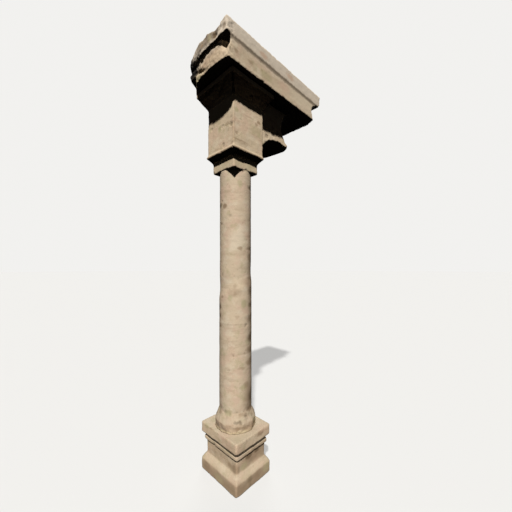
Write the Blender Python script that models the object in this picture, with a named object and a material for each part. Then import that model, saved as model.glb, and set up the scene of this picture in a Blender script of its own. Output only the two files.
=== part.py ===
"""Stone pillar: a rectangular pedestal, a round shaft with a worn foot, a square capital with one side
bracket, and a length of cornice whose left end is broken.

Metres, +Z up. The origin is the centre of the pedestal's underside, and +X is the cornice's length.
Every stone is a stack of closed outlines, one above the other, from the profiles worked out below.
"""

import math

import bmesh
import bpy
from mathutils import Vector, noise

# Open joint between two stones that rest on each other
BED_JOINT = 0.0003

# Pedestal, from the ground up
PEDESTAL_WIDTH = 0.448
PEDESTAL_DEPTH = 0.530
PEDESTAL_ARRIS = 0.007
SLAB_HEIGHT = 0.112
WEATHERING_HEIGHT = 0.054
DIE_SETBACK = 0.038
DIE_HEIGHT = 0.122
BAND_PROJECTION = 0.016
BAND_HEIGHT = 0.079
CAP_HEIGHT = 0.098

# Shaft, from its bed on the pedestal up
FOOT_DIAMETER = 0.416
FOOT_HEIGHT = 0.082
FOOT_FLARE_HEIGHT = 0.090
FOOT_FLARE_CURVE = 1.6
LOWER_DIAMETER = 0.325
UPPER_DIAMETER = 0.312
SHAFT_HEIGHT = 2.450
WORN_STEP_HEIGHT = 1.262
WORN_STEP_SLANT = 0.160
WORN_STEP_LENGTH = 0.060
WORN_STEP_SIDE = math.radians(-46)

# Capital, from its bed on the shaft up
NECK_SIDE = 0.317
NECK_HEIGHT = 0.095
COVE_HEIGHT = 0.057
COVE_CURVE = 1.4
LIP_SIDE = 0.414
LIP_HEIGHT = 0.018
IMPOST_SIDE = 0.390
IMPOST_HEIGHT = 0.453
BED_FLARE_HEIGHT = 0.131
BED_FLARE_CURVE = 1.1
BED_MOULD_SIDE = 0.552
BED_MOULD_HEIGHT = 0.042

# Bracket on the capital's right face; drops are below the cornice
BRACKET_REACH = 0.512
BRACKET_COVE_REACH = 0.300
BRACKET_FOOT_DROP = 0.620
BRACKET_NOSE_DROP = 0.357
BRACKET_LIP_DROP = 0.369
BRACKET_BROW_DROP = 0.324
BRACKET_WAIST_REACH = 0.385
BRACKET_WAIST_DROP = 0.215
BRACKET_FRONT_SETBACK = 0.052
BRACKET_BACK_SETBACK = 0.012
BRACKET_PEAK_PLACE = -0.050
BRACKET_FRONT_ROUNDING = 0.070
BRACKET_BACK_ROUNDING = 0.080
BRACKET_BACK_SAG = 0.045
BRACKET_FLARE = 0.013
BRACKET_ROOT = 0.100
BRACKET_TOP_GAP = 3 * BED_JOINT

# Cornice, from its soffit up
CORNICE_RIGHT_REACH = 1.036
CORNICE_LEFT_REACH = 0.390
CORNICE_WIDTH = 0.672
LOWER_BAND_WIDTH = 0.629
LOWER_BAND_HEIGHT = 0.175
LOWER_BAND_LEAN = 0.0085
GROOVE_HEIGHT = 0.010
GROOVE_DEPTH = 0.005
UPPER_BAND_HEIGHT = 0.124
UPPER_BAND_LEAN = 0.009
RIGHT_RETURN = 0.062
RIGHT_COVE_DEPTH = 0.088
RIGHT_COVE_HEIGHT = 0.098
RIGHT_COVE_CURVE = 1.25
RIGHT_OVERHANG_CURVE = 3
RIGHT_CORNER_LOSS = 0.050
RIGHT_CORNER_LOSS_HEIGHT = 0.085
RIGHT_FOOT_LOSS = 0.020
RIGHT_FOOT_LOSS_HEIGHT = 0.035
TOP_MARGIN = 0.110

# Broken left end of the cornice
BREAK_ROUGHNESS = 0.008
BREAK_GRAIN = 0.070
LOWER_BREAK_SETBACK = 0.045
LOWER_BREAK_BULGE = 0.038
LOWER_BREAK_BULGE_PLACE = -0.080
LOST_CORNER_WIDTH = 0.290
LOST_CORNER_LENGTH = 0.078
LOST_CORNER_CURVE = 1.3
WAIST_SETBACK = 0.014
WAIST_START = 0.050
WAIST_FADE = 0.080
WAIST_CORNER_LENGTH = 0.014
FOOT_CORNER_WIDTH = 0.190
FOOT_CORNER_LENGTH = 0.101
FOOT_BREAK_HEIGHT = 0.140
FOOT_BREAK_FADE = 0.065
UNDERCUT_DEPTH = 0.030
UNDERCUT_HEIGHT = 0.009
UNDERCUT_BACK_HEIGHT = 0.085
# Rounded losses: place across, half width, rise at that place, half height, slant, depth
LOWER_LOSSES = {
    "slot behind the front face": (-0.277, 0.047, 0.165, 0.110, 0.0, 0.060),
    "notch above the foot": (0.090, 0.150, 0.080, 0.030, 0.48, 0.032),
}
UPPER_LOSSES = {
    "crack near the front": (-0.180, 0.034, 0.250, 0.055, 0.0, 0.020),
    "spall of the top edge": (-0.190, 0.120, 0.309, 0.124, 0.0, 0.007),
}
# Dip of the top edge at the break, behind the front corner
TOP_DIP_PLACE = -0.195
TOP_DIP_HALF_WIDTH = 0.145
TOP_DIP_DEPTH = 0.025
TOP_DIP_LENGTH = 0.120
TOP_DIP_FADE = 0.090

# Wear of the surfaces and arrises
ARRIS = 0.005
WEAR_DEPTH = 0.006
WEAR_GRAIN = 0.110
SHAFT_WEAR_DEPTH = 0.0036
FOOT_WEAR_DEPTH = 0.0156
FOOT_WEAR_HEIGHT = 0.350

# Facets: points along a side, round a corner and round the shaft
SIDE_POINTS = 7
CORNER_POINTS = 3
SHAFT_POINTS = 44
SHAFT_COURSE = 0.100
FLARE_COURSES = 6
MOULD_COURSES = 4
CORNICE_SPACING = 0.110
LOWER_COURSES = 12
UPPER_COURSES = 5
BREAK_POINTS = 36
BRACKET_SLICES = 9
BRACKET_COVE_POINTS = 8
BRACKET_NOSE_POINTS = 5
BRACKET_TOP_POINTS = 4
SMOOTH_ANGLE = math.radians(32)

CAPITAL_HEIGHT = (
    NECK_HEIGHT
    + COVE_HEIGHT
    + LIP_HEIGHT
    + IMPOST_HEIGHT
    + BED_FLARE_HEIGHT
    + BED_MOULD_HEIGHT
)
UPPER_BAND_FOOT = LOWER_BAND_HEIGHT + GROOVE_HEIGHT
CORNICE_HEIGHT = UPPER_BAND_FOOT + UPPER_BAND_HEIGHT
PEDESTAL_HEIGHT = SLAB_HEIGHT + WEATHERING_HEIGHT + DIE_HEIGHT + BAND_HEIGHT + CAP_HEIGHT
SHAFT_BED = PEDESTAL_HEIGHT + BED_JOINT
CAPITAL_BED = SHAFT_BED + SHAFT_HEIGHT + BED_JOINT
CORNICE_BED = CAPITAL_BED + CAPITAL_HEIGHT + BED_JOINT

LIMESTONE = (0.46, 0.37, 0.26)
LIMESTONE_ROUGHNESS = 0.9


def smooth_step(value):
    """Eases a value from 0 to 1, and holds it there outside that range."""
    share = min(max(value, 0.0), 1.0)
    return share * share * (3.0 - 2.0 * share)


def unevenness(point, grain):
    """A smooth value from 0 to 1 that varies over a length of one grain."""
    fineness, octave_step, octaves = 0.8, 2.1, 3
    value = noise.fractal(Vector(point) / grain, fineness, octave_step, octaves)
    return min(max((1.0 + value) / 2, 0.0), 1.0)


def worn(point, depth=WEAR_DEPTH, grain=WEAR_GRAIN):
    """Moves a point of a side face towards the stone's vertical axis by an uneven depth."""
    x, y, z = point
    radius = math.hypot(x, y)
    inset = depth * unevenness(point, grain)
    share = (radius - inset) / radius
    return (x * share, y * share, z)


def rectangle_ring(width, depth, height, corner=ARRIS):
    """A rectangular outline with rounded corners, centred on the axis, as a list of points."""
    straight_x = width / 2 - corner
    straight_y = depth / 2 - corner
    ring = []
    for quarter in range(4):
        along, out = (straight_y, straight_x) if quarter % 2 == 0 else (straight_x, straight_y)
        outline = []
        for step in range(SIDE_POINTS):
            outline.append((out + corner, along * (2.0 * step / SIDE_POINTS - 1.0)))
        for step in range(CORNER_POINTS):
            angle = math.pi / 2 * step / CORNER_POINTS
            outline.append((out + corner * math.cos(angle), along + corner * math.sin(angle)))
        for x, y in outline:
            for _ in range(quarter):
                x, y = -y, x
            ring.append((x, y, height))
    return ring


def solid_from_rings(name, rings):
    """Joins closed outlines into one body, filled flat at both ends, as an object."""
    mesh = bmesh.new()
    loops = [[mesh.verts.new(point) for point in ring] for ring in rings]
    for lower, upper in zip(loops, loops[1:]):
        for index in range(len(lower)):
            following = (index + 1) % len(lower)
            mesh.faces.new((lower[index], lower[following], upper[following], upper[index]))
    mesh.faces.new(list(reversed(loops[0])))
    mesh.faces.new(loops[-1])
    bmesh.ops.recalc_face_normals(mesh, faces=mesh.faces)
    data = bpy.data.meshes.new(name)
    mesh.to_mesh(data)
    mesh.free()
    stone = bpy.data.objects.new(name, data)
    bpy.context.scene.collection.objects.link(stone)
    data.materials.append(limestone(name + "_limestone"))
    data.shade_smooth()
    data.set_sharp_from_angle(angle=SMOOTH_ANGLE)
    return stone


def limestone(name):
    """Weathered limestone: dull, not metallic."""
    material = bpy.data.materials.new(name)
    material.use_nodes = True
    shader = material.node_tree.nodes["Principled BSDF"]
    shader.inputs["Base Color"].default_value = (*LIMESTONE, 1.0)
    shader.inputs["Roughness"].default_value = LIMESTONE_ROUGHNESS
    shader.inputs["Metallic"].default_value = 0.0
    material.diffuse_color = (*LIMESTONE, 1.0)
    return material


def heights(steps, bed):
    """Turns (size, rise) steps into (size, height) pairs that start at the bed."""
    height = bed
    profile = []
    for size, rise in steps:
        height += rise
        profile.append((size, height))
    return profile


def curved_steps(start, end, rise, curve):
    """Steps of a moulding that widens from one size to another over a rise, along a power curve."""
    steps = []
    for course in range(1, MOULD_COURSES + 1):
        share = (course / MOULD_COURSES) ** curve
        steps.append((start + (end - start) * share, rise / MOULD_COURSES))
    return steps


def build_pedestal():
    """Slab with a sloped weathering, recessed die, band and cap, cut as one block."""
    arris = PEDESTAL_ARRIS
    band_setback = DIE_SETBACK - BAND_PROJECTION
    slab_plain = SLAB_HEIGHT - 2 * arris
    band_plain = BAND_HEIGHT - 3 * arris
    cap_plain = CAP_HEIGHT - 2 * arris
    steps = [
        (arris / 3, 0.0),
        (0.0, arris),
        (0.0, slab_plain / 2),
        (0.0, slab_plain / 2),
        (arris / 2, arris),
        (DIE_SETBACK / 2, WEATHERING_HEIGHT / 2),
        (DIE_SETBACK, WEATHERING_HEIGHT / 2),
        (DIE_SETBACK, DIE_HEIGHT / 2),
        (DIE_SETBACK, DIE_HEIGHT / 2),
        (band_setback + arris / 2, arris / 2),
        (band_setback, arris),
        (band_setback, band_plain / 2),
        (band_setback + arris, arris / 2),
        (band_setback + arris / 2, band_plain / 2),
        (arris / 2, arris),
        (0.0, arris),
        (0.0, cap_plain / 2),
        (0.0, cap_plain / 2),
        (arris / 2, arris),
    ]
    rings = []
    for setback, height in heights(steps, 0.0):
        width = PEDESTAL_WIDTH - 2 * setback
        depth = PEDESTAL_DEPTH - 2 * setback
        ring = rectangle_ring(width, depth, height, corner=2 * arris)
        rings.append([worn(point) for point in ring])
    return solid_from_rings("pedestal", rings)


def shaft_radius(angle, rise):
    """Radius of the shaft at an angle and a height above its bed."""
    step_at = WORN_STEP_HEIGHT + WORN_STEP_SLANT / 2 * math.cos(angle - WORN_STEP_SIDE)
    thinner = smooth_step((rise - step_at + WORN_STEP_LENGTH / 2) / WORN_STEP_LENGTH)
    radius = (LOWER_DIAMETER + (UPPER_DIAMETER - LOWER_DIAMETER) * thinner) / 2
    flare = min(max(1.0 - (rise - FOOT_HEIGHT) / FOOT_FLARE_HEIGHT, 0.0), 1.0)
    return radius + (FOOT_DIAMETER / 2 - radius) * flare ** FOOT_FLARE_CURVE


def shaft_wear(rise):
    """How deep the surface of the shaft is worn at a height above its bed: most at the foot."""
    foot = smooth_step((FOOT_WEAR_HEIGHT - rise) / (FOOT_WEAR_HEIGHT - FOOT_HEIGHT))
    return SHAFT_WEAR_DEPTH + (FOOT_WEAR_DEPTH - SHAFT_WEAR_DEPTH) * foot


def build_shaft():
    """Round shaft that flares at its worn foot, with a slanting step half-way up."""
    rises = [0.0, FOOT_HEIGHT / 2, FOOT_HEIGHT]
    for step in range(1, FLARE_COURSES + 1):
        rises.append(FOOT_HEIGHT + FOOT_FLARE_HEIGHT * step / FLARE_COURSES)
    start = rises[-1]
    courses = max(2, round((SHAFT_HEIGHT - start) / SHAFT_COURSE))
    for step in range(1, courses + 1):
        rises.append(start + (SHAFT_HEIGHT - start) * step / courses)
    rings = []
    for rise in rises:
        ring = []
        for step in range(SHAFT_POINTS):
            angle = 2 * math.pi * step / SHAFT_POINTS
            radius = shaft_radius(angle, rise)
            point = (radius * math.cos(angle), radius * math.sin(angle), SHAFT_BED + rise)
            ring.append(worn(point, depth=shaft_wear(rise)))
        rings.append(ring)
    return solid_from_rings("shaft", rings)


def bracket_profile():
    """Side outline of the bracket as (reach, drop) pairs: cove, rounded nose, upper cove and root."""
    outline = []
    for step in range(BRACKET_COVE_POINTS):
        angle = math.pi / 2 * step / (BRACKET_COVE_POINTS - 1)
        rise = (BRACKET_FOOT_DROP - BRACKET_NOSE_DROP) * math.sin(angle)
        outline.append((BRACKET_COVE_REACH * (1 - math.cos(angle)), BRACKET_FOOT_DROP - rise))
    nose_height = BRACKET_LIP_DROP - BRACKET_BROW_DROP
    nose_middle = (BRACKET_LIP_DROP + BRACKET_BROW_DROP) / 2
    nose_start = BRACKET_REACH - nose_height
    outline.append(((BRACKET_COVE_REACH + nose_start) / 2, BRACKET_NOSE_DROP))
    for step in range(BRACKET_NOSE_POINTS):
        angle = math.pi * step / (BRACKET_NOSE_POINTS - 1)
        reach = nose_start + nose_height * math.sin(angle)
        outline.append((reach, nose_middle + nose_height / 2 * math.cos(angle)))
    upper_height = BRACKET_WAIST_DROP - BRACKET_TOP_GAP
    for step in range(BRACKET_TOP_POINTS):
        angle = math.pi / 2 * step / (BRACKET_TOP_POINTS - 1)
        reach = BRACKET_WAIST_REACH + (BRACKET_REACH - BRACKET_WAIST_REACH) * (1 - math.cos(angle))
        outline.append((reach, BRACKET_WAIST_DROP - upper_height * math.sin(angle)))
    outline.append((-BRACKET_ROOT, BRACKET_TOP_GAP))
    outline.append((-BRACKET_ROOT, BRACKET_FOOT_DROP))
    return outline


def build_bracket():
    """Bracket body, whose nose is rounded in plan and sags at the back, from slices across it."""
    front = -IMPOST_SIDE / 2 + BRACKET_FRONT_SETBACK
    back = IMPOST_SIDE / 2 - BRACKET_BACK_SETBACK
    rings = []
    for step in range(BRACKET_SLICES):
        y = front + (back - front) * step / (BRACKET_SLICES - 1)
        frontness = max(BRACKET_PEAK_PLACE - y, 0.0) / (BRACKET_PEAK_PLACE - front)
        backness = max(y - BRACKET_PEAK_PLACE, 0.0) / (back - BRACKET_PEAK_PLACE)
        rounding = BRACKET_FRONT_ROUNDING * frontness ** 2 + BRACKET_BACK_ROUNDING * backness ** 2
        ring = []
        for reach, drop in bracket_profile():
            out = max(reach, 0.0) / BRACKET_REACH
            x = IMPOST_SIDE / 2 + reach - rounding * out
            low = smooth_step(drop / BRACKET_BROW_DROP - 0.5) * out
            sag = BRACKET_BACK_SAG * backness ** 2 * low
            ring.append((x, y - BRACKET_FLARE * frontness * out, CORNICE_BED - drop - sag))
        rings.append(ring)
    return solid_from_rings("bracket_part", rings)


def build_capital():
    """Neck slab, cove, impost block and bed mould, with the bracket cut from the same stone."""
    plain = IMPOST_HEIGHT - 2 * ARRIS
    steps = [
        (NECK_SIDE - ARRIS, 0.0),
        (NECK_SIDE, ARRIS / 2),
        (NECK_SIDE, NECK_HEIGHT - ARRIS),
        (NECK_SIDE, ARRIS / 2),
    ]
    steps += curved_steps(NECK_SIDE, LIP_SIDE - ARRIS, COVE_HEIGHT, COVE_CURVE)
    steps += [
        (LIP_SIDE, LIP_HEIGHT / 3),
        (LIP_SIDE, LIP_HEIGHT / 3),
        (LIP_SIDE - ARRIS, LIP_HEIGHT / 3),
        (IMPOST_SIDE, 2 * ARRIS),
        (IMPOST_SIDE, plain / 3),
        (IMPOST_SIDE, plain / 3),
        (IMPOST_SIDE, plain / 3),
    ]
    steps += curved_steps(IMPOST_SIDE, BED_MOULD_SIDE, BED_FLARE_HEIGHT, BED_FLARE_CURVE)
    steps.append((BED_MOULD_SIDE, BED_MOULD_HEIGHT))
    rings = []
    for side, height in heights(steps, CAPITAL_BED):
        rings.append([worn(point) for point in rectangle_ring(side, side, height)])
    capital = solid_from_rings("capital", rings)
    bracket = build_bracket()
    bracket.hide_render = True
    bracket.display_type = "WIRE"
    union = capital.modifiers.new("bracket", "BOOLEAN")
    union.operation = "UNION"
    union.solver = "EXACT"
    union.object = bracket
    return capital


def cornice_rises():
    """Rises over the soffit at which the cornice has an outline."""
    rises = [0.0, ARRIS / 2]
    for step in range(1, LOWER_COURSES + 1):
        rises.append(LOWER_BAND_HEIGHT * step / LOWER_COURSES)
    rises.append(LOWER_BAND_HEIGHT + GROOVE_HEIGHT / 5)
    rises.append(UPPER_BAND_FOOT - GROOVE_HEIGHT / 5)
    rises.append(UPPER_BAND_FOOT)
    start = UPPER_BAND_FOOT + UNDERCUT_HEIGHT
    for step in range(UPPER_COURSES + 1):
        rises.append(start + (CORNICE_HEIGHT - ARRIS - start) * step / UPPER_COURSES)
    rises.append(CORNICE_HEIGHT)
    return rises


def cornice_half(rise):
    """Half width of the cornice at a rise: two bands that lean out, with a groove between them."""
    if rise == 0.0:
        return LOWER_BAND_WIDTH / 2 - ARRIS / 2
    lower = LOWER_BAND_WIDTH / 2 + LOWER_BAND_LEAN * min(rise / LOWER_BAND_HEIGHT, 1.0)
    if rise <= LOWER_BAND_HEIGHT:
        return lower
    if rise < UPPER_BAND_FOOT:
        return lower - GROOVE_DEPTH
    if rise == CORNICE_HEIGHT:
        return CORNICE_WIDTH / 2 - ARRIS
    return CORNICE_WIDTH / 2 - UPPER_BAND_LEAN * (CORNICE_HEIGHT - rise) / UPPER_BAND_HEIGHT


def cornice_right(rise):
    """How far the right end reaches at a rise: a cove under an overhanging band."""
    lower_right = CORNICE_RIGHT_REACH - RIGHT_RETURN
    waist_right = lower_right - RIGHT_COVE_DEPTH
    if rise <= RIGHT_COVE_HEIGHT:
        cove = math.sin(math.pi / 2 * rise / RIGHT_COVE_HEIGHT) ** RIGHT_COVE_CURVE
        return lower_right - RIGHT_COVE_DEPTH * cove
    if rise < UPPER_BAND_FOOT:
        up = (rise - RIGHT_COVE_HEIGHT) / (UPPER_BAND_FOOT - RIGHT_COVE_HEIGHT)
        under_band = CORNICE_RIGHT_REACH - RIGHT_FOOT_LOSS - ARRIS
        return waist_right + (under_band - waist_right) * up ** RIGHT_OVERHANG_CURVE
    if rise == CORNICE_HEIGHT:
        return CORNICE_RIGHT_REACH - ARRIS
    worn_foot = max(1.0 - (rise - UPPER_BAND_FOOT) / RIGHT_FOOT_LOSS_HEIGHT, 0.0)
    return CORNICE_RIGHT_REACH - RIGHT_FOOT_LOSS * worn_foot


def bite(distance, half_width):
    """Depth share of a rounded loss, 1 at its middle and 0 past its half width."""
    return smooth_step(1.0 - abs(distance) / half_width)


def corner_share(y, width):
    """Share of the lost back corner at a place across the cornice: 0 inside it, 1 at the back."""
    return max(y - (CORNICE_WIDTH / 2 - width), 0.0) / width


def broken_end(y, rise):
    """How far the broken left end reaches at a place across the cornice and a rise in it."""
    if rise < UPPER_BAND_FOOT:
        offset = (y - LOWER_BREAK_BULGE_PLACE) / LOWER_BAND_WIDTH
        foot = smooth_step((FOOT_BREAK_HEIGHT - rise) / FOOT_BREAK_FADE)
        reach = CORNICE_LEFT_REACH - LOWER_BREAK_SETBACK
        reach += LOWER_BREAK_BULGE * max(math.cos(math.pi * offset), 0.0)
        reach -= WAIST_SETBACK * smooth_step((rise - WAIST_START) / WAIST_FADE)
        reach -= (1.0 - foot) * WAIST_CORNER_LENGTH * corner_share(y, LOST_CORNER_WIDTH)
        reach -= foot * FOOT_CORNER_LENGTH * corner_share(y, FOOT_CORNER_WIDTH)
        losses = LOWER_LOSSES
    else:
        reach = CORNICE_LEFT_REACH
        lost = corner_share(y, LOST_CORNER_WIDTH)
        undercut = UNDERCUT_HEIGHT + UNDERCUT_BACK_HEIGHT * lost
        reach -= LOST_CORNER_LENGTH * lost ** LOST_CORNER_CURVE
        reach -= UNDERCUT_DEPTH * max(1.0 - (rise - UPPER_BAND_FOOT) / undercut, 0.0)
        losses = UPPER_LOSSES
    for place, half_width, middle, half_height, slant, depth in losses.values():
        off_middle = rise - middle - slant * (y - place)
        reach -= depth * bite(y - place, half_width) * bite(off_middle, half_height)
    return reach - BREAK_ROUGHNESS * (1.0 - unevenness((y, rise, 0.0), BREAK_GRAIN))


def top_dip(x, y):
    """How far the top edge has dropped near the broken left end."""
    past = -x - (CORNICE_LEFT_REACH - TOP_DIP_LENGTH)
    depth = TOP_DIP_DEPTH * bite(y - TOP_DIP_PLACE, TOP_DIP_HALF_WIDTH)
    return depth * smooth_step(past / TOP_DIP_FADE)


def cornice_ring(rise):
    """Outline of the cornice at one level: front, right end, back and broken left end."""
    half = cornice_half(rise)
    right = cornice_right(rise)
    front_left = -broken_end(-half, rise)
    back_left = -broken_end(half, rise)
    front_points = max(2, round((CORNICE_RIGHT_REACH + CORNICE_LEFT_REACH) / CORNICE_SPACING))
    end_points = max(2, round(CORNICE_WIDTH / CORNICE_SPACING))
    loss = RIGHT_CORNER_LOSS * (1.0 - smooth_step(rise / RIGHT_CORNER_LOSS_HEIGHT))
    ring = []
    for step in range(front_points):
        ring.append((front_left + (right - loss - front_left) * step / front_points, -half))
    ring.append((right - loss, -half))
    for step in range(1, end_points):
        y = -half + 2 * half * step / end_points
        ring.append((right - max(loss - (y + half), 0.0), y))
    for step in range(front_points):
        ring.append((right + (back_left - right) * step / front_points, half))
    for step in range(BREAK_POINTS):
        y = half - 2 * half * step / BREAK_POINTS
        ring.append((-broken_end(y, rise), y))
    upness = smooth_step((rise - UPPER_BAND_FOOT) / UPPER_BAND_HEIGHT)
    return [(x, y, CORNICE_BED + rise - top_dip(x, y) * upness) for x, y in ring]


def inset_ring(ring, margin, height):
    """A flat copy of an outline at one height, drawn in towards its middle by a margin."""
    middle_x = sum(point[0] for point in ring) / len(ring)
    middle_y = sum(point[1] for point in ring) / len(ring)
    inner = []
    for x, y, _ in ring:
        far = math.hypot(x - middle_x, y - middle_y)
        share = (far - margin) / far
        inner.append((middle_x + (x - middle_x) * share, middle_y + (y - middle_y) * share, height))
    return inner


def build_cornice():
    """Length of cornice with two bands, cut off square on the right and broken on the left."""
    rings = [cornice_ring(rise) for rise in cornice_rises()]
    rings.append(inset_ring(rings[-1], TOP_MARGIN, CORNICE_BED + CORNICE_HEIGHT))
    return solid_from_rings("cornice", rings)


def main():
    for item in list(bpy.data.objects):
        bpy.data.objects.remove(item)
    build_pedestal()
    build_shaft()
    build_capital()
    build_cornice()


main()
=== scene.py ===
"""Finish of the weathered stone pillar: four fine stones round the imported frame, with their limestone,
a plain pale floor, three lights and the camera. It is laid out as a Blender add-on and run as a script."""

import math

import bmesh
import bpy
from bpy.props import FloatProperty, FloatVectorProperty, IntProperty, PointerProperty
from mathutils import Matrix, Vector


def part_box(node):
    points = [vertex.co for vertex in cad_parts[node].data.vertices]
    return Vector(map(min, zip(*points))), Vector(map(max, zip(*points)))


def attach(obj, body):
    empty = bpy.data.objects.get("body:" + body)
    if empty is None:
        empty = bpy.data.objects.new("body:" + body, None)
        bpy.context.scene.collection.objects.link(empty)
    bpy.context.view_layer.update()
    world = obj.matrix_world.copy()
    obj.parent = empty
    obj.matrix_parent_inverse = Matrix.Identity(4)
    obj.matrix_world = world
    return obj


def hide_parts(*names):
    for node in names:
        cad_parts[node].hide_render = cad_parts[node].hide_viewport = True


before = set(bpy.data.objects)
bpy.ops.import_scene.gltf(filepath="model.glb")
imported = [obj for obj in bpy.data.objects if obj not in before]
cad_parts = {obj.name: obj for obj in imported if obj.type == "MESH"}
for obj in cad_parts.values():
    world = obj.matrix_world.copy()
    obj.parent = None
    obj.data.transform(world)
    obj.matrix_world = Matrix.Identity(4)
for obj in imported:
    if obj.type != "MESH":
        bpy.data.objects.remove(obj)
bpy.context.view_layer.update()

bl_info = {
    "name": "Weathered stone pillar",
    "version": (1, 0, 0),
    "blender": (4, 5, 0),
    "location": "3D View > Sidebar > Pillar",
    "description": "Builds the fine stones, the limestone finish and the stage of a ruined pillar",
    "category": "Object",
}

BODY = "root"
IMAGE_SIDE = 512

SHAFT_LOW, SHAFT_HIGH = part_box("shaft")

# Fineness of each remeshed stone, and the distance at which loose corners are one (m)
PEDESTAL_VOXEL = 0.0042
CAPITAL_VOXEL = 0.00525
CORNICE_VOXEL = 0.0062
MERGE_DISTANCE = 0.00002

# Radius within which a bed stays flat, how close to it a face counts as bed, and how it fades (m)
CAPITAL_BED_RADIUS = 1.0
CORNICE_BED_RADIUS = 0.38
BED_TOLERANCE = 0.0015
BED_FADE = 0.03

# An arris stands out of its blurred surroundings, and a crevice lies under them (m)
SURROUNDINGS_BLUR = 14
ARRIS_RISE = (0.0008, 0.0045)
CREVICE_RISE = (-0.0006, -0.0040)

# Broken faces, pits and chips: lengths in metres, radii as shares of the spacing, noise from 0 to 1
BREAK_FADE = 0.03
PIT_RAGGEDNESS = 0.030
PIT_LUMPS_PER_METRE = 55.0
PIT_RADII = (0.15, 0.36)
PIT_FLOOR = 0.35
PITTED_SHARE = 0.40
CHIPPED_NOISE = (0.47, 0.66)

# The shaft is turned from a drum of 1 m radius, so the foot's lumps are sized at about its real radius
FOOT_SHRINK = (0.2, 0.2, 1.0)
FOOT_LUMP_NOISE = (0.35, 0.70)
END_RINGS = 24
STEP_RAGGEDNESS = 0.060
STEP_RAGGED_SCALE = 5.0
STEP_HOLLOW_FADE = 0.25

# Limestone: widths and depths in metres
STAIN_RAGGEDNESS = 0.030
STAIN_RAGGED_GRAIN = 0.030
STAIN_CORE = 0.35
SOILING_PER_METRE = 9.0
GRAIN_WIDTH = 0.006
GRAIN_DEPTH = 0.0016
GRAIN_SHADES = (0.92, 1.07)
PORE_SPACING = 0.016
PORE_DEPTH = 0.0025
DULLNESS = (0.82, 0.96)
STONE_SPECULAR = 0.25

# Each stone's own cast over the shared colours: red, green, blue
PEDESTAL_TONE = (0.80, 0.79, 0.79)
SHAFT_TONE = (0.90, 0.91, 0.94)

# Stage: metres, and directions along which the lights shine
FLOOR_SIDE = 360.0
FLOOR_GAP = 0.0005
FLOOR_GLOW = (1.0, 0.99, 0.97, 1.0)
KEY_PATH = Vector((0.452, 0.430, -0.81)).normalized()
BACK_PATH = Vector((-0.66, -0.66, -0.35)).normalized()
REFLECTED_PATH = Vector((0.70, 0.70, -0.14)).normalized()
CAMERA_PLACE = (-1.7008, -1.9373, 1.9935)
CAMERA_AIM = (0.717, 0.697, 0.0)
CAMERA_RISE = 12 / IMAGE_SIDE


def linear(code):
    """An sRGB hex colour as linear red, green, blue and alpha."""
    channels = []
    for start in (1, 3, 5):
        value = int(code[start:start + 2], 16) / 255
        channels.append(value / 12.92 if value <= 0.04045 else ((value + 0.055) / 1.055) ** 2.4)
    return (*channels, 1.0)


def add_node(tree, kind, inputs=(), **settings):
    """Adds a node with its settings. Its inputs are values, sockets or nodes, in order or by name."""
    node = tree.nodes.new(kind)
    for name, value in settings.items():
        setattr(node, name, value)
    pairs = inputs.items() if isinstance(inputs, dict) else enumerate(inputs)
    for place, value in pairs:
        if isinstance(value, bpy.types.Node):
            value = next(output for output in value.outputs if output.enabled)
        if isinstance(value, bpy.types.NodeSocket):
            tree.links.new(value, node.inputs[place])
        elif value is not None:
            node.inputs[place].default_value = value
    return node


def add_size_sockets(tree, group):
    """Gives a node group one input for each size of a property group, under the same name."""
    for key in group.__annotations__:
        size = group.bl_rna.properties[key]
        kind = "NodeSocketInt" if size.type == "INT" else "NodeSocketFloat"
        tree.interface.new_socket(size.name, in_out="INPUT", socket_type=kind)


def size_values(sizes):
    """The sizes of a property group, by the names of the inputs that take them."""
    return {sizes.bl_rna.properties[key].name: getattr(sizes, key) for key in type(sizes).__annotations__}


class PillarWear(bpy.types.PropertyGroup):
    """How deep and how coarse the weather has worn the stones."""

    undulation_grain: FloatProperty(
        name="Undulation Grain", description="Width of the broad hollows", default=0.130, unit="LENGTH"
    )
    undulation_depth: FloatProperty(
        name="Undulation Depth", description="Depth of the broad hollows", default=0.004, unit="LENGTH"
    )
    rough_grain: FloatProperty(
        name="Rough Grain", description="Width of the small lumps", default=0.030, unit="LENGTH"
    )
    rough_depth: FloatProperty(
        name="Rough Depth", description="Depth between the small lumps", default=0.0020, unit="LENGTH"
    )
    bedding_grain: FloatProperty(
        name="Bedding Grain", description="Height of the stone's soft and hard beds",
        default=0.060, unit="LENGTH",
    )
    bedding_depth: FloatProperty(
        name="Bedding Depth", description="Depth of the soft beds", default=0.0018, unit="LENGTH"
    )
    pit_spacing: FloatProperty(
        name="Pit Spacing", description="Distance between neighbouring pits", default=0.095, unit="LENGTH"
    )
    pit_depth: FloatProperty(
        name="Pit Depth", description="Depth of the deepest pits", default=0.0045, unit="LENGTH"
    )
    chip_grain: FloatProperty(
        name="Chip Grain", description="Length of the chips along an arris", default=0.050, unit="LENGTH"
    )
    chip_depth: FloatProperty(
        name="Chip Depth", description="Depth of the chips out of an arris", default=0.005, unit="LENGTH"
    )
    break_place: FloatProperty(
        name="Break Place", description="Place along X past which faces are broken",
        default=-0.290, unit="LENGTH",
    )
    break_grain: FloatProperty(
        name="Break Grain", description="Width of the lumps of a broken face", default=0.045, unit="LENGTH"
    )
    break_depth: FloatProperty(
        name="Break Depth", description="Depth between the lumps of a broken face",
        default=0.018, unit="LENGTH",
    )


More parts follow.
